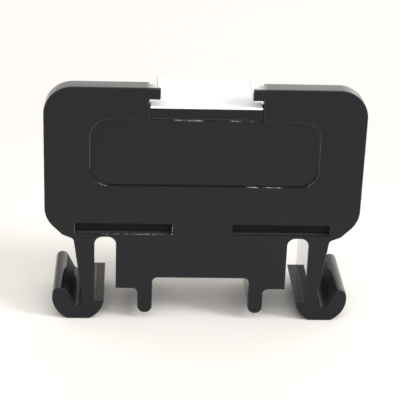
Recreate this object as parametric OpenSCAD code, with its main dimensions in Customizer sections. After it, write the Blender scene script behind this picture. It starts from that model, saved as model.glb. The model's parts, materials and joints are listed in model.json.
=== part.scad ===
// Open-sided feed-through terminal block that clips onto a mounting channel.
// Millimetres, +Z up. The barrier wall faces -Y and the wires run along X.
// The block stands on its two hook feet.

/* [Barrier wall] */
// Height of the wall's top edge above the soles of the feet
block_h = 30.4; // [29:0.1:34]
// Thickness of the barrier wall
wall_t = 2.2; // [1.8:0.1:2.6]
// How far the wall reaches past each end of the floor
wall_reach = 2.95; // [2.2:0.05:4]
// Length of the nearly level edge under the wall, past the end of the floor
step_len = 0.85; // [0.5:0.05:1.2]
// Rise of that edge, in degrees
step_angle = 22; // [10:1:30]
// Radius of the wall's four corners
corner_r = 3.5; // [2.5:0.1:4]
// Length of the sunk name panel
panel_len = 27.2; // [20:0.1:30]
// Height of the sunk name panel
panel_h = 8.3; // [5:0.1:10]
// Corner radius of the name panel
panel_r = 2.2; // [1:0.1:2.5]
// Depth of the name panel
panel_sink = 0.3; // [0.2:0.05:0.5]

/* [Marker slot] */
// Depth of the slot's floor below the wall's top edge
slot_drop = 2.55; // [2.2:0.05:3]
// Length of the slot under its lips
slot_len = 13.4; // [12:0.1:16]
// Length of the mouth between the lips
slot_mouth = 10.8; // [9:0.1:11.5]
// Height of each lip
lip_t = 1.45; // [1:0.05:1.6]
// Depth of a lip, front to back
lip_depth = 1.5; // [1.2:0.05:1.8]
// Level land at the front of a lip's tip, where its sloping top begins
lip_land = 0.1; // [0.05:0.05:0.4]
// How far the slope reaches past the lip's root at the back of the wall
lip_fade = 0.2; // [0.1:0.05:0.4]
// Height left at the back corner of a lip's tip
lip_edge = 0.4; // [0.2:0.05:0.6]
// Height of the thumb relief under the slot
relief_h = 1.5; // [1:0.1:2]
// Depth of the thumb relief
relief_sink = 0.6; // [0.4:0.05:0.8]
// Thickness of the marker strip
strip_t = 0.25; // [0.2:0.05:0.5]
// Depth of the marker strip's wide head, the part between the lips
strip_head = 2.2; // [1.5:0.1:3]
// How far the strip's tail overhangs the pillar on each side
strip_over = 0.1; // [0.1:0.05:0.4]
// How far the strip's tail ends short of the block's back
strip_short = 0.7; // [0.2:0.1:1]

/* [Rail feet] */
// Distance between the inner faces of the two spring legs
leg_gap = 26.1; // [25:0.1:28]
// Width of the slot that frees each leg from the body
leg_slot = 2.6; // [2.2:0.1:3]
// Corner radius at the top of that slot
leg_slot_r = 1; // [0.5:0.05:1.05]
// Thickness of a leg where it leaves the floor
leg_root = 2.55; // [2.2:0.05:3]
// Thickness of a leg just above its foot
leg_tip = 1.45; // [1.2:0.05:1.8]
// Fillet between a leg and the underside of the floor
root_r = 0.6; // [0.3:0.05:0.7]
// Radius of the round foot
foot_r = 3.2; // [3:0.05:3.5]
// Height of the foot's centre above its flat sole
foot_z = 2.9; // [2.6:0.05:2.95]
// Distance of the foot's centre outside the leg's inner face
foot_out = 2; // [1.8:0.05:2.3]
// Height of the ledge that grips the rail flange from below
ledge_z = 2.6; // [2.3:0.05:2.8]
// Radius at the bottom of the finger groove
groove_r = 0.75; // [0.5:0.05:0.85]
// Height of that radius' centre
groove_z = 2.55; // [2.3:0.05:2.8]
// Radius of the finger lip's rounded tip
lip_r = 0.8; // [0.6:0.05:0.9]
// Angle of the lip's tip above the foot's centre
lip_angle = 13; // [8:1:20]
// Gap that takes the rail flange
flange_gap = 1.65; // [1.4:0.05:2]
// Distance between the inner faces of the two locating pins
pin_gap = 11.9; // [10:0.1:13]
// Thickness of a locating pin
pin_w = 1.8; // [1.4:0.1:2.2]
// Height of the pins' round ends above the soles
pin_z = 0.9; // [0.5:0.1:1.5]
// Fillet at the root of the pins
pin_root_r = 0.65; // [0.4:0.05:0.8]
// Rise of the arch between the pins above the body's underside
arch_rise = 1.5; // [1:0.1:2]

/* [Wells] */
// Height of the wells' floor
floor_z = 13.1; // [12.8:0.1:14]
// Thickness of the floor above the leg slots
floor_t = 1.9; // [1.4:0.1:2]
// Thickness of the floor at the legs' roots
root_t = 2.2; // [2:0.1:2.6]
// How far the floor runs past the legs
floor_over = 0.5; // [0.4:0.05:1]
// Bevel on the floor's ends, which leads the wires in
floor_bevel = 0.6; // [0.3:0.1:1]
// Width of the central pillar
pillar_w = 11.2; // [9:0.1:12]
// Thickness of the lip along the back of the floor
back_lip_t = 0.8; // [0.4:0.05:1]
// Thickness of the rib that stops each collar
stop_t = 1; // [0.6:0.1:1.4]
// Height of the lip and the rib above the floor
curb_h = 0.9; // [0.5:0.1:0.9]
// Thickness of the moulding round the coring pockets
core_wall = 1.4; // [1:0.1:1.8]
// Thickness of the ribs between the pockets
core_rib = 1.2; // [0.8:0.1:1.6]

/* [Interlock keys] */
// Distance of each key's inner end from the middle of the block
key_x = 3.78; // [3:0.05:5]
// Length of a key
key_len = 11.55; // [9:0.05:12]
// Height of a key
key_h = 1.15; // [0.9:0.05:1.3]
// Depth of a key's top edge below the floor
key_drop = 0.2; // [0.1:0.05:0.4]
// How far the keys stand out of the open side
key_out = 0.5; // [0.4:0.05:1]

/* [Clamps] */
// Length of a clamp collar along the wire
collar_len = 6.8; // [6.2:0.1:8]
// Width of a clamp collar
collar_w = 6.8; // [5.6:0.1:7]
// Thickness of a collar's side walls
collar_side = 0.85; // [0.6:0.05:1]
// Thickness of a collar's bottom
collar_base = 0.9; // [0.9:0.05:1.2]
// Thickness of a collar's threaded top
collar_top = 1.4; // [1.1:0.05:1.8]
// Outer corner radius of the folded collar
collar_r = 0.9; // [0.5:0.05:1]
// Thickness of the current bar
bar_t = 1; // [0.8:0.05:1.3]
// Clear height for the wire when the clamp is open
wire_gap = 3.3; // [2.5:0.1:4]
// Thickness of a pressure plate
plate_t = 0.8; // [0.6:0.05:1.1]
// Bevel under the plate's ends
plate_bevel = 0.35; // [0.2:0.05:0.5]
// Outside diameter of the screw thread
screw_d = 3.5; // [3:0.1:4]
// Diameter of the dog point that seats in the plate
dog_d = 1.9; // [1.5:0.1:2.2]
// Diameter of the screw head
head_d = 5.8; // [5.2:0.1:6.2]
// Height of the screw head
head_h = 2.2; // [1.8:0.1:2.8]
// Radius of the head's upper edge
head_r = 0.5; // [0.3:0.05:0.8]
// Width of the driver slot
driver_w = 1; // [0.8:0.05:1.2]
// Depth of the driver slot
driver_h = 1.1; // [0.8:0.05:1.4]

/* [Clearances] */
// Gap between the metal parts and the moulding
fit = 0.3; // [0.2:0.05:0.5]
// Gap of the bar and of the plate in the collar, on each side
slide_fit = 0.15; // [0.1:0.05:0.25]
// Gap of the keys in a neighbour's recesses
key_fit = 0.075; // [0.05:0.005:0.15]
// Gap of the marker strip at each end of its slot
strip_fit = 0.1; // [0.1:0.05:0.4]
// Radial gap of the screw in its thread and of the dog point in the plate
screw_fit = 0.05; // [0.02:0.01:0.1]
// End play of the screw on its plate
end_play = 0.05; // [0.02:0.01:0.1]
// Gap that is left above and below the moving pieces at the ends of their travel
stop_gap = 0.2; // [0.1:0.05:0.4]

/* [Hidden] */
$fn = 64;
// overshoot of a cut past the face that it opens
over = 1;
// share of its radius by which an arc overlaps the edges that it blends, so that it crosses them cleanly
nip = 0.0025;

// depth of the block, front to back: wall, clamp and back lip with their gaps
pitch = wall_t + fit + collar_w + fit + back_lip_t;
front_y = -(pitch + key_out) / 2;
well_y = front_y + wall_t;
back_y = front_y + pitch;

// outline of a leg and of the wall's underside, right-hand side
half_gap = leg_gap / 2;
body_half = half_gap - leg_slot;
body_z = ledge_z + flange_gap;
slot_top_z = floor_z - floor_t;
root = [half_gap + leg_root, floor_z - root_t];
leg_lean = atan((leg_root - leg_tip) / (root.y - ledge_z));
collar_x0 = pillar_w / 2 + fit;
collar_x1 = collar_x0 + collar_len;
stop_x = collar_x1 + fit;
floor_end = max(root.x, stop_x + stop_t) + floor_over;
floor_tip = [floor_end, root.y + (floor_end - root.x) * tan(step_angle)];
step_end = floor_tip + step_len * [1, tan(step_angle)];
half_len = floor_end + wall_reach;
slant_top = [half_len, step_end.y + half_len - step_end.x];

// the round foot, its finger groove and lip
foot_c = [half_gap + foot_out, foot_z];
groove_c = [leg_edge(groove_z) + groove_r * (1 - nip) / cos(leg_lean), groove_z];
lip_c = foot_c + (foot_r - lip_r * (1 - nip)) * [cos(lip_angle), sin(lip_angle)];

// the stack of clamp parts, from the floor up
bar_z = floor_z + collar_base;
bar_top = bar_z + bar_t;
plate_z = bar_top + wire_gap;
plate_top = plate_z + plate_t;
travel = wire_gap - stop_gap;
collar_z1 = plate_top + stop_gap + collar_top;
screw_z = plate_top + end_play;
head_z = collar_z1 + travel + stop_gap;
clamp_x = (collar_x0 + collar_x1) / 2;
clamp_y = well_y + fit + collar_w / 2;
collar_in = collar_w - 2 * collar_side;
bar_w = collar_in - 2 * slide_fit;

// the marker slot and the panel under it
slot_z = block_h - slot_drop;
panel_top = slot_z - relief_h;

// inner and outer faces of a leg: its outer edge leans in towards the foot
function leg_edge(z) = root.x - (root.y - z) * tan(leg_lean);

// the sliver between two edges that leave a corner and the arc that touches both:
// cut away it rounds an outer corner, added it fills an inner one
module sliver(corner, toward_a, toward_b, r) {
  a = toward_a / norm(toward_a);
  b = toward_b / norm(toward_b);
  mid = (a + b) / norm(a + b);
  half = acos(a * b) / 2;
  reach = r / tan(half);
  difference() {
    polygon([corner - mid * r / 2, corner + a * reach, corner + b * reach]);
    translate(corner + mid * r * (1 / sin(half) - nip)) circle(r);
  }
}

// a gap between two upright edges, closed by a level edge with round corners
module arched_gap(x0, x1, z0, z1, r) {
  difference() {
    translate([x0, z0]) square([x1 - x0, z1 - z0]);
    sliver([x0, z1], [1, 0], [0, -1], r);
    sliver([x1, z1], [-1, 0], [0, -1], r);
  }
}

// a rectangle with round corners, centred on the origin
module round_rect(w, h, r) {
  difference() {
    square([w, h], center = true);
    for (sx = [-1, 1], sz = [-1, 1])
      sliver([sx * w / 2, sz * h / 2], [-sx, 0], [0, -sz], r);
  }
}

// gives an outline in X and Z a depth d from y0 towards the back
module deep(y0, d) {
  translate([0, y0 + d, 0]) rotate([90, 0, 0]) linear_extrude(d) children();
}

// draws its children on the right and again, mirrored, on the left
module both_sides() {
  children();
  mirror([1, 0, 0]) children();
}

// right-hand leg and foot, as an outline
module hook_leg() {
  to_lip = lip_c - groove_c;
  face_angle = atan2(to_lip.y, to_lip.x) + asin((groove_r + lip_r) / norm(to_lip));
  face_normal = [sin(face_angle), -cos(face_angle)];
  groove_touch = groove_c - groove_r * (1 - nip) * [cos(leg_lean), -sin(leg_lean)];
  lip_ray = [cos(lip_angle), sin(lip_angle)];
  clear_z = foot_z + foot_r + over;
  clear_x = foot_c.x + (foot_r + over) * lip_ray.x;
  difference() {
    translate(foot_c) circle(foot_r);
    translate([foot_c.x - 2 * foot_r, -2 * foot_r]) square([4 * foot_r, 2 * foot_r]);
    translate(groove_c) circle(groove_r);
    difference() {
      polygon([
        [half_gap, groove_touch.y],
        groove_touch,
        groove_c,
        groove_c + groove_r * (1 - nip) * face_normal,
        lip_c - lip_r * (1 - nip) * face_normal,
        lip_c,
        foot_c + (foot_r + over) * lip_ray,
        [clear_x, clear_z],
        [half_gap, clear_z]
      ]);
      translate(lip_c) circle(lip_r);
    }
  }
  polygon([
    [half_gap, foot_z / 2],
    [leg_edge(foot_z / 2), foot_z / 2],
    root,
    [half_gap - leg_slot / 2, floor_z - floor_t / 2]
  ]);
  sliver(root, [-sin(leg_lean), -cos(leg_lean)], [cos(step_angle), sin(step_angle)], root_r);
}

// body between the legs, with its locating pins and the arch between them
module rail_body() {
  pin_x = pin_gap / 2;
  difference() {
    translate([-body_half, body_z]) square([2 * body_half, floor_z - body_z]);
    arched_gap(-pin_x, pin_x, body_z - over, body_z + arch_rise, pin_root_r);
  }
  both_sides() {
    translate([pin_x, pin_z + pin_w / 2]) square([pin_w, body_z + arch_rise - pin_z - pin_w / 2]);
    translate([pin_x + pin_w / 2, pin_z + pin_w / 2]) circle(pin_w / 2);
    sliver([pin_x + pin_w, body_z], [1, 0], [0, -1], pin_root_r);
  }
}

// what runs through the whole depth: floor, legs, feet and body
module chassis_outline() {
  floor_right = [root, floor_tip, [floor_end, floor_z - floor_bevel], [floor_end - floor_bevel, floor_z]];
  floor_left = [for (i = [len(floor_right) - 1 : -1 : 0]) [-floor_right[i].x, floor_right[i].y]];
  difference() {
    union() {
      polygon(concat(floor_right, floor_left));
      translate([-half_gap, slot_top_z - 2 * leg_slot_r]) square([2 * half_gap, floor_t + leg_slot_r]);
      both_sides() hook_leg();
      rail_body();
    }
    both_sides() arched_gap(body_half, half_gap, ledge_z, slot_top_z, leg_slot_r);
  }
}

// the barrier wall above the chassis
module wall_outline() {
  wall_right = [floor_tip, step_end, slant_top, [half_len, block_h]];
  wall_left = [for (i = [len(wall_right) - 1 : -1 : 0]) [-wall_right[i].x, wall_right[i].y]];
  difference() {
    polygon(concat([[0, floor_z - floor_t / 2]], wall_right, wall_left));
    both_sides() {
      sliver([half_len, block_h], [-1, 0], [0, -1], corner_r);
      sliver(slant_top, [0, 1], [-1, -1], corner_r);
    }
  }
}

// blind pockets from the open side that keep the moulding's walls even
module coring() {
  body_core_z = body_z + arch_rise + core_wall;
  body_cores = 4;
  core_row(body_half, body_cores, body_core_z, slot_top_z);
  pillar_cores = 2;
  core_row(pillar_w / 2, pillar_cores, bar_top + stop_gap + core_wall, slot_z - core_wall);
}

module core_row(half_w, count, z0, z1) {
  core_w = (2 * half_w - 2 * core_wall - (count - 1) * core_rib) / count;
  for (i = [0 : count - 1])
    translate([-half_w + core_wall + i * (core_w + core_rib), well_y, z0])
      cube([core_w, pitch, z1 - z0]);
}

// the slot for the marker strip, open at the top between its lips and behind them
module marker_slot() {
  through = wall_t + 2 * over;
  translate([-slot_len / 2, front_y - over, slot_z]) cube([slot_len, through, slot_drop - lip_t]);
  translate([-slot_mouth / 2, front_y - over, slot_z]) cube([slot_mouth, through, slot_drop + over]);
  translate([-slot_len / 2, front_y + lip_depth, slot_z + strip_t])
    cube([slot_len, wall_t, slot_drop + over]);
  // the slope of a lip's top falls away from a slanting line, towards the mouth and the back
  run = [slot_len / 2 + lip_fade - slot_mouth / 2, wall_t - lip_land];
  turn = atan2(run.y, run.x);
  fall = atan((lip_t - lip_edge) / ((lip_depth - lip_land) * cos(turn)));
  both_sides()
    translate([slot_mouth / 2, front_y + lip_land, block_h])
      rotate([0, 0, turn])
        rotate([-fall, 0, 0])
          translate([-over, -over, 0]) cube([norm(run) + 2 * over, through, through]);
}

// everything sunk into the face of the barrier wall
module face_recesses() {
  deep(front_y - over, over + relief_sink)
    translate([-slot_len / 2, panel_top]) square([slot_len, relief_h + over]);
  deep(front_y - over, over + panel_sink)
    translate([0, panel_top - panel_h / 2]) round_rect(panel_len, panel_h, panel_r);
  both_sides()
    translate([key_x - key_fit, front_y - over, floor_z - key_drop - key_h - key_fit])
      cube([key_len + 2 * key_fit, over + key_out + stop_gap, key_h + 2 * key_fit]);
}

// right-hand well: the ribs that hold the collar, and the key that meets the next block
module well_ribs() {
  translate([stop_x, well_y - over, floor_z - over]) cube([stop_t, back_y - well_y + over, curb_h + over]);
  translate([pillar_w / 2 - over, back_y - back_lip_t, floor_z - over])
    cube([stop_x + stop_t - pillar_w / 2 + over, back_lip_t, curb_h + over]);
  translate([key_x, back_y - over, floor_z - key_drop - key_h]) cube([key_len, key_out + over, key_h]);
}

module housing() {
  color([0.13, 0.13, 0.135]) difference() {
    union() {
      deep(front_y, pitch) chassis_outline();
      deep(front_y, wall_t) wall_outline();
      translate([-pillar_w / 2, well_y - over, floor_z - over])
        cube([pillar_w, back_y - well_y + over, slot_z - floor_z + over]);
      both_sides() well_ribs();
    }
    marker_slot();
    face_recesses();
    coring();
    // notch for the current bar, open to the back
    translate([-pillar_w / 2 - over, clamp_y - bar_w / 2 - fit, bar_z])
      cube([pillar_w + 2 * over, pitch, bar_t + stop_gap]);
  }
}

module current_bar() {
  bar_half = collar_x1 - fit;
  color([0.72, 0.6, 0.4])
    translate([-bar_half, clamp_y - bar_w / 2, bar_z]) cube([2 * bar_half, bar_w, bar_t]);
}

// folded box round one end of the bar; side is -1 on the left and 1 on the right
module clamp_collar(side) {
  collar_h = collar_z1 - floor_z;
  inside_h = collar_h - collar_base - collar_top;
  color([0.75, 0.75, 0.73]) difference() {
    translate([side * clamp_x, clamp_y, floor_z + collar_h / 2])
      rotate([90, 0, 90]) linear_extrude(collar_len, center = true) difference() {
        round_rect(collar_w, collar_h, collar_r);
        translate([0, (collar_base - collar_top) / 2]) square([collar_in, inside_h], center = true);
      }
    translate([side * clamp_x, clamp_y, collar_z1 - collar_top - over])
      cylinder(d = screw_d + 2 * screw_fit, h = collar_top + 2 * over);
  }
}

// plate that the screw presses on the wire
module pressure_plate(side) {
  plate_half = collar_len / 2 - slide_fit;
  color([0.7, 0.7, 0.68]) difference() {
    deep(clamp_y - bar_w / 2, bar_w) translate([side * clamp_x, plate_z]) polygon([
      [-plate_half, plate_bevel], [-plate_half + plate_bevel, 0], [plate_half - plate_bevel, 0],
      [plate_half, plate_bevel], [plate_half, plate_t], [-plate_half, plate_t]
    ]);
    translate([side * clamp_x, clamp_y, plate_z - over])
      cylinder(d = dog_d + 2 * screw_fit, h = plate_t + 2 * over);
  }
}

// slotted screw with a dog point, its thread drawn at the outside diameter
module clamp_screw(side) {
  dog_z = plate_z + stop_gap;
  head_top = head_z + head_h;
  color([0.8, 0.8, 0.8]) translate([side * clamp_x, clamp_y, 0]) difference() {
    rotate_extrude() difference() {
      union() {
        translate([0, dog_z]) square([dog_d / 2, screw_z - dog_z + over]);
        translate([0, screw_z]) square([screw_d / 2, head_z - screw_z + over]);
        translate([0, head_z]) square([head_d / 2, head_h]);
      }
      sliver([head_d / 2, head_top], [-1, 0], [0, -1], head_r);
    }
    translate([-head_d, -driver_w / 2, head_top - driver_h]) cube([2 * head_d, driver_w, driver_h + over]);
  }
}

// marker card: a wide head under the lips and a narrower tail on the pillar
module marker_strip() {
  head_len = slot_len - 2 * strip_fit;
  tail_len = pillar_w + 2 * strip_over;
  color([0.95, 0.95, 0.93]) {
    translate([-head_len / 2, front_y, slot_z]) cube([head_len, strip_head, strip_t]);
    translate([-tail_len / 2, front_y, slot_z]) cube([tail_len, pitch - strip_short, strip_t]);
  }
}

module left_clamp_collar() { clamp_collar(-1); }
module right_clamp_collar() { clamp_collar(1); }
module left_pressure_plate() { pressure_plate(-1); }
module right_pressure_plate() { pressure_plate(1); }
module left_clamp_screw() { clamp_screw(-1); }
module right_clamp_screw() { clamp_screw(1); }

housing();
current_bar();
left_clamp_collar();
right_clamp_collar();
left_pressure_plate();
right_pressure_plate();
left_clamp_screw();
right_clamp_screw();
marker_strip();
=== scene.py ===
"""Looks of the terminal block: rounded edges, finishes, cut threads, studio light and camera."""
import json
import math

import bpy
from mathutils import Matrix, Vector

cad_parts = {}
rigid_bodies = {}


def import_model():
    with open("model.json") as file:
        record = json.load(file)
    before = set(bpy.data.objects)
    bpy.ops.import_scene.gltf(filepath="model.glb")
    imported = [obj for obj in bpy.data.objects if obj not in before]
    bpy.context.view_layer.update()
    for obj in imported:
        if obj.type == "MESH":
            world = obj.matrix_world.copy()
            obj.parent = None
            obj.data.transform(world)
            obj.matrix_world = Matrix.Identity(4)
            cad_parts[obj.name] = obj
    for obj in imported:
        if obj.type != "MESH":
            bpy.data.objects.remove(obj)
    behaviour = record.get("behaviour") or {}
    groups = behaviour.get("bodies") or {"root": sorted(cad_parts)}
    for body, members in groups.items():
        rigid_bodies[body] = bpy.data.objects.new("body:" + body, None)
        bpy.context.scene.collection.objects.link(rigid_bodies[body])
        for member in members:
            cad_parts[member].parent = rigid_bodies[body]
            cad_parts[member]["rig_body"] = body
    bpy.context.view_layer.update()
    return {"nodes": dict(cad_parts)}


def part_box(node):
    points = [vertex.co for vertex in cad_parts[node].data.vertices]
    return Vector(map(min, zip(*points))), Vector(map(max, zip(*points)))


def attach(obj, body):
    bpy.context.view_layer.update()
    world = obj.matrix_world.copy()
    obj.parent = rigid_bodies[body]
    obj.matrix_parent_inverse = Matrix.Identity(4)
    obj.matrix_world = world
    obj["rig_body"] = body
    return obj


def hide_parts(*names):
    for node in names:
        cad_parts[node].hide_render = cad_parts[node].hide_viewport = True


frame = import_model()

MM = 0.001

# Front planes: the wall's face, foremost on the moulding, and the marker card's cut front
WALL_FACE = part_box("housing")[0][1]
CARD_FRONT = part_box("marker_strip")[0][1]

# Edges: radius by material, the angle past which an edge is broken, the angle up to which shading is smooth,
# and the material slot of broken edges
MOULDING_EDGE = 0.1 * MM
SHEET_EDGE = 0.12 * MM
CARD_EDGE = 0.1 * MM
EDGE_ANGLE = math.radians(28)
SMOOTH_ANGLE = math.radians(35)
EDGE_SLOT = 1

# Merging of a CAD mesh: distance of points that are one, and angle of faces that are one
WELD = 0.001 * MM
FLAT_ANGLE = math.radians(0.3)

# Sunk places in the wall's face: reach along X from the middle, heights, and depths behind the face
RECESS_X = (3.7 * MM, 15.4 * MM)
RECESS_Z = (11.675 * MM, 12.975 * MM)
RECESS_SINK = 0.7 * MM
PANEL_X = 13.6 * MM
PANEL_R = 2.2 * MM
PANEL_Z = (18.05 * MM, 26.35 * MM)
PANEL_SINK = 0.3 * MM
RELIEF_X = 6.7 * MM

# Slots beside the legs, down to the feet's ledges; grooves behind the hooks' lips, and where their outer
# slopes begin; tops of the marker slot's lips
LEG_X = (10.45 * MM, 13.05 * MM)
LEG_Z = (2.6 * MM, 11.2 * MM)
GROOVE_X = (14.5 * MM, 16.7 * MM)
GROOVE_Z = (1.8 * MM, 3.75 * MM)
GROOVE_SLOPE_X = 15.75 * MM
LIP_TOP_Z = 30.4 * MM

# Which faces lie there: what still counts as near, and shares of a face's normal along an axis, for facing it
# squarely, facing the front, leaning to the front or back, and looking upwards
NEAR = 0.16 * MM
SQUARE_ON = 0.9
FRONTAL = 0.95
LEANING = 0.1
UPWARD = 0.3

# Marker card: depth of its flat head, height of its curled corner, and the cuts that let it curl
CARD_FLAT = 2.6 * MM
CARD_CURL = 0.35 * MM
CARD_CUTS = 8

# Paler tone along Y, from where it begins to where it is palest: on the grooves' slopes a painted reflection,
# then on the feet's ledges
GROOVE_SHEEN_Y = (1.2 * MM, 3.4 * MM)
LEDGE_PALING_Y = (-4.0 * MM, 5.0 * MM)

# Painted highlights along X: where the lips' tops carry a painted reflection, where each edge shows pale runs
# of painted glint, and how far these fade at their ends; then the noise at which an edge keeps its own tone
# and is wholly pale
LIP_HIGHLIGHT_X = (5.7 * MM, 7.1 * MM)
RECESS_GLINT_X = (-12.2 * MM, -3.0 * MM)
RELIEF_GLINT_X = ((-4.1 * MM, -0.2 * MM), (2.6 * MM, 6.5 * MM))
PANEL_GLINT_X = (5.0 * MM, 9.6 * MM)
CORNER_GLINT_X = (-13.4 * MM, -11.0 * MM)
GLINT_FADE = 0.5 * MM
GLINT_NOISE = (0.42, 0.76)

# Screws: the thread that the plain CAD shank stands for, how much of its pitch the ridge fills, and the head
THREAD_PITCH = 0.6 * MM
THREAD_FILL = 0.95
THREAD_R = 1.74 * MM
THREAD_CORE_R = 1.38 * MM
THREAD_BOTTOM = 0.65 * MM
DOG_R = 0.95 * MM
HEAD_H = 2.2 * MM
HEAD_ROUND = 0.5 * MM
DRIVER_W = 1.0 * MM
DRIVER_H = 1.1 * MM
TURN_STEPS = 48

# Floor: its radius, and distances from the block between which painted shade deepens its tone
FLOOR_R = 0.6
FLOOR_FADE = (18 * MM, 62 * MM)

# Light tent: its tone, strengths from the camera's side and from behind, and the reach along Y between them
TENT_TONE = (1.0, 0.98, 0.95, 1)
TENT_FRONT = 0.86
TENT_BACK = 0.80
TENT_TURN = (-0.3, 0.3)

# Window in the tent: strength, the way to its middle, and the cosines of its soft rim
WINDOW = 1.95
WINDOW_WAY = (0.23, 0.973, 0)
WINDOW_RIM = (0.78, 0.93)

# Lamps: places in metres, sides of their squares, and powers in watts
LAMP_TARGET = Vector((0, 0, 0.01))
SIDE_LAMP = {"place": (2.58, -1.03, 1.6), "size": 0.9, "power": 54}
FRONT_LAMP = {"place": (0.5, -2.45, 3.12), "size": 4.0, "power": 52}

# Camera, as the photograph was taken: place from the floor below the middle of the wall's face, angles, lens
# and sensor in millimetres, and clipping in metres
CAMERA_PLACE = Vector((-9.295 * MM, WALL_FACE - 156.149 * MM, 85.983 * MM))
CAMERA_PITCH = math.radians(24.02)
CAMERA_YAW = math.radians(3.25)
CAMERA_ROLL = math.radians(2.04)
CAMERA_LENS = 128.44
SENSOR = 36.0
CLIP_NEAR = 0.01
CLIP_FAR = 20


# Small helpers

def deselect():
    bpy.ops.object.select_all(action="DESELECT")


def work_on(piece):
    """Makes one piece the only selected one, and the active one."""
    deselect()
    piece.select_set(True)
    bpy.context.view_layer.objects.active = piece


def apply_modifier(piece, modifier):
    work_on(piece)
    bpy.ops.object.modifier_apply(modifier=modifier.name)


def node(tree, kind, links=None, **settings):
    """Adds a node with these settings; links maps its inputs to values or to other nodes' sockets."""
    made = tree.nodes.new(kind)
    for name, value in settings.items():
        setattr(made, name, value)
    for name, value in (links or {}).items():
        if isinstance(value, bpy.types.NodeSocket):
            tree.links.new(value, made.inputs[name])
        else:
            made.inputs[name].default_value = value
    return made


def calculate(tree, operation, *values):
    """The result of an operation on values or sockets."""
    return node(tree, "ShaderNodeMath", dict(enumerate(values)), operation=operation).outputs["Value"]


def spread(tree, value, low, high, start=0.3, end=0.7):
    """Maps a value of about start to end onto low to high."""
    return node(tree, "ShaderNodeMapRange", {
        "Value": value, "From Min": start, "From Max": end, "To Min": low, "To Max": high}).outputs["Result"]


def two_tone(tree, value, dark, light):
    """A colour from dark to light, either of which may be a colour socket."""
    mix = node(tree, "ShaderNodeMix", data_type="RGBA")
    tree.links.new(value, mix.inputs["Factor"])
    for socket, colour in ((mix.inputs["A"], dark), (mix.inputs["B"], light)):
        if isinstance(colour, bpy.types.NodeSocket):
            tree.links.new(colour, socket)
        else:
            socket.default_value = colour
    return mix.outputs["Result"]


def warm_grey(value):
    """A grey with a little less green and blue."""
    return (value, 0.985 * value, 0.97 * value, 1)


def object_place(tree):
    return node(tree, "ShaderNodeTexCoord").outputs["Object"]


def place_along(tree, axis):
    return node(tree, "ShaderNodeSeparateXYZ", {"Vector": object_place(tree)}).outputs[axis]


def drawn_out(tree, scale):
    """Places scaled along each axis, so that a pattern is stretched where the scale is small."""
    return node(tree, "ShaderNodeMapping", {"Vector": object_place(tree), "Scale": scale}).outputs["Vector"]


def new_material(name, **sockets):
    """A material with a Principled shader whose constant values are set on its own sockets."""
    material = bpy.data.materials.new(name)
    material.use_nodes = True
    shader = material.node_tree.nodes["Principled BSDF"]
    for socket, value in sockets.items():
        shader.inputs[socket.replace("_", " ")].default_value = value
    return material, material.node_tree, shader


def feed(tree, shader, **values):
    """Links varying values to a shader's sockets."""
    for socket, value in values.items():
        tree.links.new(value, shader.inputs[socket.replace("_", " ")])


def roughen(tree, shader, height, depth, strength):
    """Gives a shader fine relief."""
    bump = node(tree, "ShaderNodeBump", {"Height": height, "Distance": depth, "Strength": strength})
    feed(tree, shader, Normal=bump.outputs["Normal"])


# Effect that the finishes share

def speckle_group():
    """Fine grain with slow clouds over it, both from 0 to 1."""
    group = bpy.data.node_groups.new("grain_and_cloud", "ShaderNodeTree")
    for name, kind in (("Place", "NodeSocketVector"), ("Grain Scale", "NodeSocketFloat"),
                       ("Cloud Scale", "NodeSocketFloat")):
        group.interface.new_socket(name, in_out="INPUT", socket_type=kind)
    for name in ("Grain", "Cloud"):
        group.interface.new_socket(name, in_out="OUTPUT", socket_type="NodeSocketFloat")
    source = node(group, "NodeGroupInput")
    result = node(group, "NodeGroupOutput")
    for name, detail, roughness in (("Grain", 3.0, 0.6), ("Cloud", 2.0, 0.5)):
        noise = node(group, "ShaderNodeTexNoise", {
            "Vector": source.outputs["Place"], "Scale": source.outputs[f"{name} Scale"],
            "Detail": detail, "Roughness": roughness})
        group.links.new(noise.outputs["Fac"], result.inputs[name])
    return group


GRAIN_AND_CLOUD = speckle_group()


def grain_and_cloud(tree, grain_scale, cloud_scale, place=None):
    """The shared grain and clouds, at the object's own places unless others are given."""
    made = node(tree, "ShaderNodeGroup", node_tree=GRAIN_AND_CLOUD)
    tree.links.new(place or object_place(tree), made.inputs["Place"])
    made.inputs["Grain Scale"].default_value = grain_scale
    made.inputs["Cloud Scale"].default_value = cloud_scale
    return made.outputs["Grain"], made.outputs["Cloud"]


# Finishes of the moulding

def black_moulding():
    """Satin black thermoplastic with its mould's fine grain; the tops of the slot's lips are painted pale as
    a painted reflection.
    """
    material, tree, shader = new_material("black_moulding", IOR=1.37)
    grain, cloud = grain_and_cloud(tree, 9000.0, 180.0)
    black = two_tone(tree, cloud, (0.0035, 0.0044, 0.0070, 1), (0.0057, 0.0066, 0.0092, 1))
    from_middle = calculate(tree, "ABSOLUTE", place_along(tree, "X"))
    # Painted reflection: the lips' tops beside the slot are painted pale
    beside_slot = spread(tree, from_middle, 1.0, 0.0, *LIP_HIGHLIGHT_X)
    on_top = spread(tree, place_along(tree, "Z"), 0.0, 1.0, LIP_TOP_Z - NEAR, LIP_TOP_Z)
    highlight = calculate(tree, "MULTIPLY", beside_slot, on_top)
    tone = two_tone(tree, highlight, black, (0.64, 0.64, 0.63, 1))
    feed(tree, shader, Base_Color=tone, Roughness=spread(tree, cloud, 0.09, 0.14))
    roughen(tree, shader, grain, 0.002 * MM, 0.1)
    return material


def polished_moulding():
    """Flanks of the leg slots, drawn smooth by the mould's cores, so that they mirror what lies behind."""
    material, tree, shader = new_material("polished_moulding", IOR=1.5, Coat_Weight=1.0, Coat_Roughness=0.03)
    grain, cloud = grain_and_cloud(tree, 9000.0, 260.0)
    tone = two_tone(tree, cloud, (0.005, 0.005, 0.006, 1), (0.009, 0.009, 0.010, 1))
    feed(tree, shader, Base_Color=tone, Roughness=spread(tree, grain, 0.04, 0.08))
    return material


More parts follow.
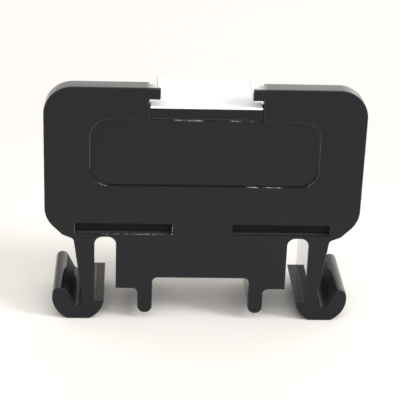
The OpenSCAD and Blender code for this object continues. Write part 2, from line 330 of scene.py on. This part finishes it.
def rubbed_ledge():
    """Ledges of the feet, streaked front to back by the rail's flanges, and paler towards the open back."""
    material, tree, shader = new_material("rubbed_ledge", IOR=1.21)
    grain, cloud = grain_and_cloud(tree, 6000.0, 2200.0, drawn_out(tree, (1, 0.06, 1)))
    streak = spread(tree, cloud, 0.0, 1.0)
    streaks = two_tone(tree, streak, (0.002, 0.002, 0.003, 1), (0.014, 0.0138, 0.0155, 1))
    paling = spread(tree, place_along(tree, "Y"), 0.0, 0.6, *LEDGE_PALING_Y)
    tone = two_tone(tree, paling, streaks, warm_grey(0.03))
    feed(tree, shader, Base_Color=tone, Roughness=spread(tree, grain, 0.1, 0.2))
    return material


def edge_painted_highlight():
    """The moulding's rounded edges, painted a little paler than the black in broken clouds: a painted
    highlight.
    """
    material, tree, shader = new_material("edge_painted_highlight", IOR=1.42)
    grain, cloud = grain_and_cloud(tree, 4000.0, 500.0)
    tone = two_tone(tree, cloud, (0.008, 0.008, 0.009, 1), (0.022, 0.022, 0.024, 1))
    feed(tree, shader, Base_Color=tone, Roughness=spread(tree, cloud, 0.2, 0.4))
    roughen(tree, shader, grain, 0.006 * MM, 0.4)
    return material


def painted_glint_edge(name, own, pale, *reaches):
    """Edges painted from their own tone to a paler one in short broken runs, inside each reach along X:
    painted glints.
    """
    material, tree, shader = new_material(name, IOR=1.25, Roughness=0.5)
    grain, cloud = grain_and_cloud(tree, 5000.0, 1100.0)
    place = place_along(tree, "X")
    runs = calculate(tree, "ADD", cloud, spread(tree, grain, -0.2, 0.2))
    glinting = spread(tree, runs, 0.0, 1.0, *GLINT_NOISE)
    tone = warm_grey(own)
    for start, end in reaches:
        after = spread(tree, place, 0.0, 1.0, start, start + GLINT_FADE)
        before = spread(tree, place, 1.0, 0.0, end - GLINT_FADE, end)
        shown = calculate(tree, "MULTIPLY", glinting, calculate(tree, "MULTIPLY", after, before))
        tone = two_tone(tree, shown, tone, warm_grey(pale))
    feed(tree, shader, Base_Color=tone)
    return material


def rim_painted_highlight():
    """Side edges of the name panel and the outer edge of the left recess, painted dark grey, paler than the
    black: a faint painted highlight.
    """
    material, tree, shader = new_material("rim_painted_highlight", IOR=1.42, Roughness=0.4)
    grain, cloud = grain_and_cloud(tree, 4000.0, 500.0)
    highlight = spread(tree, cloud, 0.0, 1.0)
    feed(tree, shader, Base_Color=two_tone(tree, highlight, (0.014, 0.014, 0.015, 1), (0.07, 0.07, 0.07, 1)))
    roughen(tree, shader, grain, 0.004 * MM, 0.3)
    return material


def sheltered_moulding():
    """Sunk bottoms and walls, and edges that nothing rubs: as moulded, and dull."""
    material, tree, shader = new_material("sheltered_moulding", IOR=1.22)
    grain, cloud = grain_and_cloud(tree, 7000.0, 220.0)
    tone = two_tone(tree, cloud, (0.007, 0.0066, 0.0072, 1), (0.011, 0.0104, 0.0112, 1))
    feed(tree, shader, Base_Color=tone, Roughness=spread(tree, cloud, 0.5, 0.62))
    roughen(tree, shader, grain, 0.005 * MM, 0.4)
    return material


def groove_bed():
    """Bottoms of the grooves behind the hooks' lips, smooth but dull, with a grey tone that is painted light.
    """
    material, tree, shader = new_material("groove_bed", IOR=1.17)
    _, cloud = grain_and_cloud(tree, 7000.0, 220.0)
    tone = two_tone(tree, cloud, (0.034, 0.0345, 0.038, 1), (0.042, 0.0425, 0.046, 1))
    feed(tree, shader, Base_Color=tone, Roughness=spread(tree, cloud, 0.1, 0.2))
    return material


def groove_slope():
    """Inner slopes of the hooks' lips: dull and painted grey, paler towards the open back: painted
    reflection.
    """
    material, tree, shader = new_material("groove_slope", IOR=1.22, Roughness=0.55)
    _, cloud = grain_and_cloud(tree, 7000.0, 220.0)
    dull = two_tone(tree, cloud, (0.038, 0.0385, 0.042, 1), (0.046, 0.0465, 0.050, 1))
    paling = spread(tree, place_along(tree, "Y"), 0.0, 1.0, *GROOVE_SHEEN_Y)
    feed(tree, shader, Base_Color=two_tone(tree, paling, dull, warm_grey(0.06)))
    return material


def ledge_painted_light_and_dust():
    """Upward ledges of the key recesses: a grey paler than the black, painted light caught from above, with
    dusty blotches over it.
    """
    material, tree, shader = new_material("ledge_painted_light_and_dust", IOR=1.4, Roughness=0.6)
    grain, cloud = grain_and_cloud(tree, 5000.0, 400.0)
    paling = spread(tree, calculate(tree, "MULTIPLY", grain, cloud), 0.0, 1.0, 0.15, 0.4)
    feed(tree, shader, Base_Color=two_tone(tree, paling, (0.032, 0.032, 0.033, 1), (0.055, 0.0545, 0.054, 1)))
    return material


# Finishes of the metal, the card and the floor

def plated_metal(name, tone, roughness, stretch=(1, 1, 1)):
    """Plated metal: faint grain drawn out along the sheet, and slow clouds in the plating."""
    material, tree, shader = new_material(name, Metallic=1.0)
    grain, cloud = grain_and_cloud(tree, 5000.0, 350.0, drawn_out(tree, stretch))
    clouded = [0.82 * channel for channel in tone]
    plating = two_tone(tree, cloud, (*clouded, 1), (*tone, 1))
    feed(tree, shader, Base_Color=plating, Roughness=spread(tree, cloud, roughness - 0.06, roughness + 0.08))
    roughen(tree, shader, grain, 0.004 * MM, 0.35)
    return material


def cut_front(tree, tone):
    """A card's tone, painted whiter along its cut front: a painted highlight."""
    cut = spread(tree, place_along(tree, "Y"), 1.0, 0.0, CARD_FRONT + CARD_EDGE, CARD_FRONT + 2 * CARD_EDGE)
    return two_tone(tree, cut, tone, (0.96, 0.96, 0.95, 1))


def white_card():
    """Matt white marker card with a faint tooth."""
    material, tree, shader = new_material("white_card", IOR=1.3)
    grain, cloud = grain_and_cloud(tree, 6000.0, 300.0)
    tone = two_tone(tree, cloud, (0.775, 0.78, 0.80, 1), (0.80, 0.805, 0.825, 1))
    feed(tree, shader, Base_Color=cut_front(tree, tone), Roughness=spread(tree, cloud, 0.45, 0.6))
    roughen(tree, shader, grain, 0.003 * MM, 0.3)
    return material


def card_rim():
    """Rim of the card, greyer than its face except along its cut front, where it is painted whiter as a
    highlight.
    """
    material, tree, shader = new_material("card_rim", IOR=1.2, Roughness=0.6)
    grain, cloud = grain_and_cloud(tree, 6000.0, 400.0)
    tone = two_tone(tree, cloud, (0.42, 0.42, 0.42, 1), (0.52, 0.52, 0.52, 1))
    feed(tree, shader, Base_Color=cut_front(tree, tone))
    roughen(tree, shader, grain, 0.003 * MM, 0.3)
    return material


def pale_floor():
    """Plain pale paper, with painted shade that deepens its tone away from the block."""
    material, tree, shader = new_material("pale_floor", Roughness=0.8, IOR=1.3)
    place = object_place(tree)
    _, cloud = grain_and_cloud(tree, 40.0, 3.0, place)
    paper = two_tone(tree, cloud, (0.93, 0.905, 0.87, 1), (0.945, 0.92, 0.885, 1))
    distance = node(tree, "ShaderNodeVectorMath", {0: place}, operation="LENGTH").outputs["Value"]
    # Painted shade: the floor's tone deepens away from the block
    away = spread(tree, distance, 0.0, 1.0, *FLOOR_FADE)
    feed(tree, shader, Base_Color=two_tone(tree, away, paper, (0.77, 0.755, 0.737, 1)))
    return material


# Pieces

def hand_over(piece, cad_name):
    """The piece takes the CAD node's place, on its body."""
    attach(piece, frame["nodes"][cad_name]["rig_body"])
    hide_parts(cad_name)


def rounded_copy(cad_name, name, edge, finish, edge_finish=None, cuts=()):
    """A merged copy of a CAD node with its sharp edges rounded; it stands for the node and rides with it.

    Cuts are places along Y where its faces are divided."""
    cad = frame["nodes"][cad_name]
    piece = bpy.data.objects.new(name, cad.data.copy())
    bpy.context.scene.collection.objects.link(piece)
    work_on(piece)
    bpy.ops.object.mode_set(mode="EDIT")
    bpy.ops.mesh.select_all(action="SELECT")
    bpy.ops.mesh.remove_doubles(threshold=WELD)
    bpy.ops.mesh.dissolve_limited(angle_limit=FLAT_ANGLE)
    for place in cuts:
        bpy.ops.mesh.select_all(action="SELECT")
        bpy.ops.mesh.bisect(plane_co=(0, place, 0), plane_no=(0, 1, 0))
    bpy.ops.object.mode_set(mode="OBJECT")
    piece.data.materials.clear()
    piece.data.materials.append(finish)
    rounding = piece.modifiers.new("rounding", "BEVEL")
    rounding.width = edge
    rounding.segments = 2
    rounding.limit_method = "ANGLE"
    rounding.angle_limit = EDGE_ANGLE
    rounding.use_clamp_overlap = False
    rounding.loop_slide = False
    if edge_finish:
        piece.data.materials.append(edge_finish)
        rounding.material = EDGE_SLOT
    apply_modifier(piece, rounding)
    bpy.ops.object.shade_smooth_by_angle(angle=SMOOTH_ANGLE)
    flat_faces = piece.modifiers.new("flat_faces", "WEIGHTED_NORMAL")
    flat_faces.weight = 100
    flat_faces.keep_sharp = True
    apply_modifier(piece, flat_faces)
    hand_over(piece, cad_name)
    return piece


def near(value, target):
    return abs(value - target) < NEAR


def within(value, reach):
    return reach[0] - NEAR < value < reach[1] + NEAR


def groove_finish(face, is_edge, x, depth):
    """Names the finish of a face in a hook's groove."""
    if is_edge and depth < NEAR:
        return "sheltered"
    if abs(face.normal.y) > LEANING or face.normal.z < UPWARD:
        return None
    return "groove_slope" if abs(x) > GROOVE_SLOPE_X else "groove_bed"


def recess_finish(face, is_edge, x, height, depth):
    """Names the finish of a face in a key recess."""
    if is_edge and depth < NEAR:
        if x < 0 and (near(height, RECESS_Z[0]) or near(x, -RECESS_X[0])):
            return "recess_painted_glint"
        return "rim" if near(x, -RECESS_X[1]) else "sheltered"
    if face.normal.z > SQUARE_ON and depth > NEAR:
        return "ledge"
    return "sheltered" if depth > NEAR else None


def panel_finish(x, height, depth):
    """Names the finish of a face in the rim of the name panel."""
    if near(height, PANEL_Z[1]):
        return "relief_painted_glint" if abs(x) < RELIEF_X else None
    is_low = height < PANEL_Z[0] + PANEL_R
    if is_low and depth > MOULDING_EDGE:
        return "sheltered"
    if is_low and x < PANEL_R - PANEL_X:
        return "corner_painted_glint"
    if near(height, PANEL_Z[0]):
        return "panel_painted_glint"
    return "rim" if depth < MOULDING_EDGE else None


def place_finish(face):
    """Names the finish of a face of the housing by where it lies, or nothing where it keeps its own."""
    x, height = face.center.x, face.center.z
    depth = face.center.y - WALL_FACE
    is_edge = face.material_index == EDGE_SLOT
    if LEG_Z[0] + NEAR < height < LEG_Z[1] and within(abs(x), LEG_X):
        return "polished" if abs(face.normal.x) > SQUARE_ON and not is_edge else None
    if near(height, LEG_Z[0]) and face.normal.z > SQUARE_ON and not is_edge:
        return "foot_ledge"
    if within(height, GROOVE_Z) and within(abs(x), GROOVE_X):
        return groove_finish(face, is_edge, x, depth)
    if within(height, RECESS_Z) and within(abs(x), RECESS_X) and depth < RECESS_SINK + NEAR:
        return recess_finish(face, is_edge, x, height, depth)
    in_panel = within(height, PANEL_Z) and abs(x) < PANEL_X + NEAR and depth < PANEL_SINK + NEAR
    if in_panel and abs(face.normal.y) < FRONTAL:
        return panel_finish(x, height, depth)
    return None


def finish_places(housing, finishes):
    """Gives the faces of sunk places, their edges, the leg slots and the grooves their own finishes."""
    first = len(housing.data.materials)
    slots = {}
    for number, (name, finish) in enumerate(finishes.items()):
        housing.data.materials.append(finish)
        slots[name] = first + number
    for face in housing.data.polygons:
        name = place_finish(face)
        if name:
            face.material_index = slots[name]


def curled_card():
    """The marker card, flat under the lips, with its left back corner curled up a little by handling."""
    low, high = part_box("marker_strip")
    flat_end = low[1] + CARD_FLAT
    free = high[1] - flat_end
    cuts = [flat_end + step * free / CARD_CUTS for step in range(CARD_CUTS)]
    card = rounded_copy("marker_strip", "marker_card", CARD_EDGE, white_card(), card_rim(), cuts)
    for vertex in card.data.vertices:
        back = max(0.0, (vertex.co.y - flat_end) / free)
        left = (high[0] - vertex.co.x) / (high[0] - low[0])
        vertex.co.z += CARD_CURL * back ** 2 * left


def solid_cylinder(name, radius, bottom, top):
    """An upright cylinder on the Z axis."""
    deselect()
    bpy.ops.mesh.primitive_cylinder_add(
        vertices=TURN_STEPS, radius=radius, depth=top - bottom, location=(0, 0, (bottom + top) / 2))
    made = bpy.context.object
    made.name = name
    bpy.ops.object.transform_apply(location=True, rotation=True, scale=True)
    return made


def thread_ridge(name, bottom, top):
    """A right-hand ridge of equal-sided section, wound round the Z axis and cut level at both ends."""
    section_r = THREAD_FILL * THREAD_PITCH / math.sqrt(3)
    turns = math.ceil((top - bottom) / THREAD_PITCH) + 2
    deselect()
    bpy.ops.mesh.primitive_circle_add(
        vertices=3, radius=section_r, location=(THREAD_R - section_r, 0, bottom - THREAD_PITCH),
        rotation=(math.pi / 2, math.pi / 2, 0))
    ridge = bpy.context.object
    ridge.name = name
    bpy.ops.object.transform_apply(location=True, rotation=True, scale=True)
    winding = ridge.modifiers.new("winding", "SCREW")
    winding.axis = "Z"
    winding.angle = 2 * math.pi
    winding.screw_offset = THREAD_PITCH
    winding.iterations = turns
    winding.steps = winding.render_steps = TURN_STEPS
    apply_modifier(ridge, winding)
    bpy.ops.object.mode_set(mode="EDIT")
    for height, up in ((bottom, -1), (top, 1)):
        bpy.ops.mesh.select_all(action="SELECT")
        bpy.ops.mesh.bisect(plane_co=(0, 0, height), plane_no=(0, 0, up), use_fill=True, clear_outer=True)
    bpy.ops.mesh.select_all(action="SELECT")
    bpy.ops.mesh.normals_make_consistent(inside=False)
    bpy.ops.object.mode_set(mode="OBJECT")
    return ridge


def screw_head(name, radius, bottom, top):
    """A cheese head with a rounded upper edge and a driver slot along X."""
    head = solid_cylinder(name, radius, bottom, top)
    middle = (bottom + top) / 2
    bpy.ops.object.mode_set(mode="EDIT")
    bpy.ops.mesh.select_all(action="DESELECT")
    bpy.ops.object.mode_set(mode="OBJECT")
    for edge in head.data.edges:
        edge.select = all(head.data.vertices[i].co.z > middle for i in edge.vertices)
    bpy.ops.object.mode_set(mode="EDIT")
    bpy.ops.mesh.bevel(offset=HEAD_ROUND, segments=5, affect="EDGES")
    bpy.ops.object.mode_set(mode="OBJECT")
    deselect()
    bpy.ops.mesh.primitive_cube_add(size=1, location=(0, 0, top))
    cutter = bpy.context.object
    cutter.scale = (4 * radius, DRIVER_W, 2 * DRIVER_H)
    slot = head.modifiers.new("driver_slot", "BOOLEAN")
    slot.object = cutter
    slot.operation = "DIFFERENCE"
    apply_modifier(head, slot)
    bpy.data.objects.remove(cutter)
    return head


def threaded_screw(side, finish):
    """Slotted screw with a cut thread and a dog point, in the place of the plain CAD screw."""
    cad_name = f"{side}_clamp_screw"
    low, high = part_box(cad_name)
    head_bottom = high[2] - HEAD_H
    thread_bottom = low[2] + THREAD_BOTTOM
    screw = screw_head(f"{side}_slotted_screw", (high[0] - low[0]) / 2, head_bottom, high[2])
    parts = [
        solid_cylinder("core", THREAD_CORE_R, thread_bottom, head_bottom + NEAR),
        solid_cylinder("dog", DOG_R, low[2], thread_bottom + NEAR),
        thread_ridge("ridge", thread_bottom, head_bottom)]
    work_on(screw)
    for part in parts:
        part.select_set(True)
    bpy.ops.object.join()
    screw.location = ((low[0] + high[0]) / 2, (low[1] + high[1]) / 2, 0)
    bpy.ops.object.transform_apply(location=True, rotation=True, scale=True)
    screw.data.materials.clear()
    screw.data.materials.append(finish)
    bpy.ops.object.shade_smooth_by_angle(angle=SMOOTH_ANGLE)
    hand_over(screw, cad_name)


steel = plated_metal("zinc_plated_steel", tone=(0.62, 0.62, 0.61), roughness=0.3, stretch=(1, 4, 1))
screw_steel = plated_metal("screw_steel", tone=(0.66, 0.66, 0.65), roughness=0.26)
tinned_bar = plated_metal("tinned_bar", tone=(0.70, 0.67, 0.60), roughness=0.34, stretch=(0.15, 1, 1))

housing = rounded_copy("housing", "moulded_housing", MOULDING_EDGE, black_moulding(), edge_painted_highlight())
finish_places(housing, {
    "sheltered": sheltered_moulding(),
    "groove_bed": groove_bed(),
    "groove_slope": groove_slope(),
    "ledge": ledge_painted_light_and_dust(),
    "polished": polished_moulding(),
    "foot_ledge": rubbed_ledge(),
    "rim": rim_painted_highlight(),
    # Painted glints: pale broken runs along edges of the recess, the relief and the name panel
    "recess_painted_glint": painted_glint_edge("recess_painted_glint", 0.008, 0.38, RECESS_GLINT_X),
    "relief_painted_glint": painted_glint_edge("relief_painted_glint", 0.016, 0.38, *RELIEF_GLINT_X),
    "panel_painted_glint": painted_glint_edge("panel_painted_glint", 0.005, 0.50, PANEL_GLINT_X),
    "corner_painted_glint": painted_glint_edge("corner_painted_glint", 0.008, 0.18, CORNER_GLINT_X)})
rounded_copy("current_bar", "tinned_current_bar", SHEET_EDGE, tinned_bar)
for side in ("left", "right"):
    rounded_copy(f"{side}_clamp_collar", f"{side}_folded_collar", SHEET_EDGE, steel)
    rounded_copy(f"{side}_pressure_plate", f"{side}_stamped_plate", SHEET_EDGE, steel)
    threaded_screw(side, screw_steel)
curled_card()


# Stage: floor, light and camera

def floor():
    """A round floor, far wider than the picture."""
    deselect()
    bpy.ops.mesh.primitive_circle_add(vertices=96, radius=FLOOR_R, fill_type="NGON", location=(0, 0, 0))
    made = bpy.context.object
    made.name = "floor"
    made.data.materials.append(pale_floor())


def tent_light():
    """Soft light from all round: a strength from the camera's side, one from behind, and a window there."""
    world = bpy.data.worlds.new("light_tent")
    bpy.context.scene.world = world
    world.use_nodes = True
    tree = world.node_tree
    sky = tree.nodes["Background"]
    sky.inputs["Color"].default_value = TENT_TONE
    way = node(tree, "ShaderNodeTexCoord").outputs["Generated"]
    to_back = node(tree, "ShaderNodeSeparateXYZ", {"Vector": way}).outputs["Y"]
    sides = spread(tree, to_back, TENT_FRONT, TENT_BACK, *TENT_TURN)
    to_window = node(tree, "ShaderNodeVectorMath", {0: way, 1: WINDOW_WAY}, operation="DOT_PRODUCT")
    window = spread(tree, to_window.outputs["Value"], 0.0, WINDOW - TENT_BACK, *WINDOW_RIM)
    feed(tree, sky, Strength=calculate(tree, "ADD", sides, window))


def soft_lamp(name, place, size, power):
    """A square lamp that looks at the block."""
    lamp = bpy.data.lights.new(name, "AREA")
    lamp.shape = "SQUARE"
    lamp.size = size
    lamp.energy = power
    made = bpy.data.objects.new(name, lamp)
    bpy.context.scene.collection.objects.link(made)
    made.location = place
    made.rotation_euler = (LAMP_TARGET - Vector(place)).to_track_quat("-Z", "Y").to_euler()


def photo_camera():
    """The camera where the photograph was taken from, turned and rolled as it was."""
    cos, sin = math.cos, math.sin
    level = cos(CAMERA_PITCH)
    forward = Vector((sin(CAMERA_YAW) * level, cos(CAMERA_YAW) * level, -sin(CAMERA_PITCH)))
    right = Vector((cos(CAMERA_YAW), -sin(CAMERA_YAW), 0))
    up = right.cross(forward)
    rolled_right = cos(CAMERA_ROLL) * right + sin(CAMERA_ROLL) * up
    rolled_up = cos(CAMERA_ROLL) * up - sin(CAMERA_ROLL) * right
    camera = bpy.data.cameras.new("camera")
    camera.lens = CAMERA_LENS
    camera.sensor_width = SENSOR
    camera.clip_start = CLIP_NEAR
    camera.clip_end = CLIP_FAR
    made = bpy.data.objects.new("camera", camera)
    bpy.context.scene.collection.objects.link(made)
    turn = Matrix((rolled_right, rolled_up, -forward)).transposed()
    made.matrix_world = Matrix.Translation(CAMERA_PLACE) @ turn.to_4x4()
    bpy.context.scene.camera = made


floor()
tent_light()
soft_lamp("side_light", **SIDE_LAMP)
soft_lamp("front_light", **FRONT_LAMP)
photo_camera()
bpy.context.scene.view_settings.view_transform = "Standard"
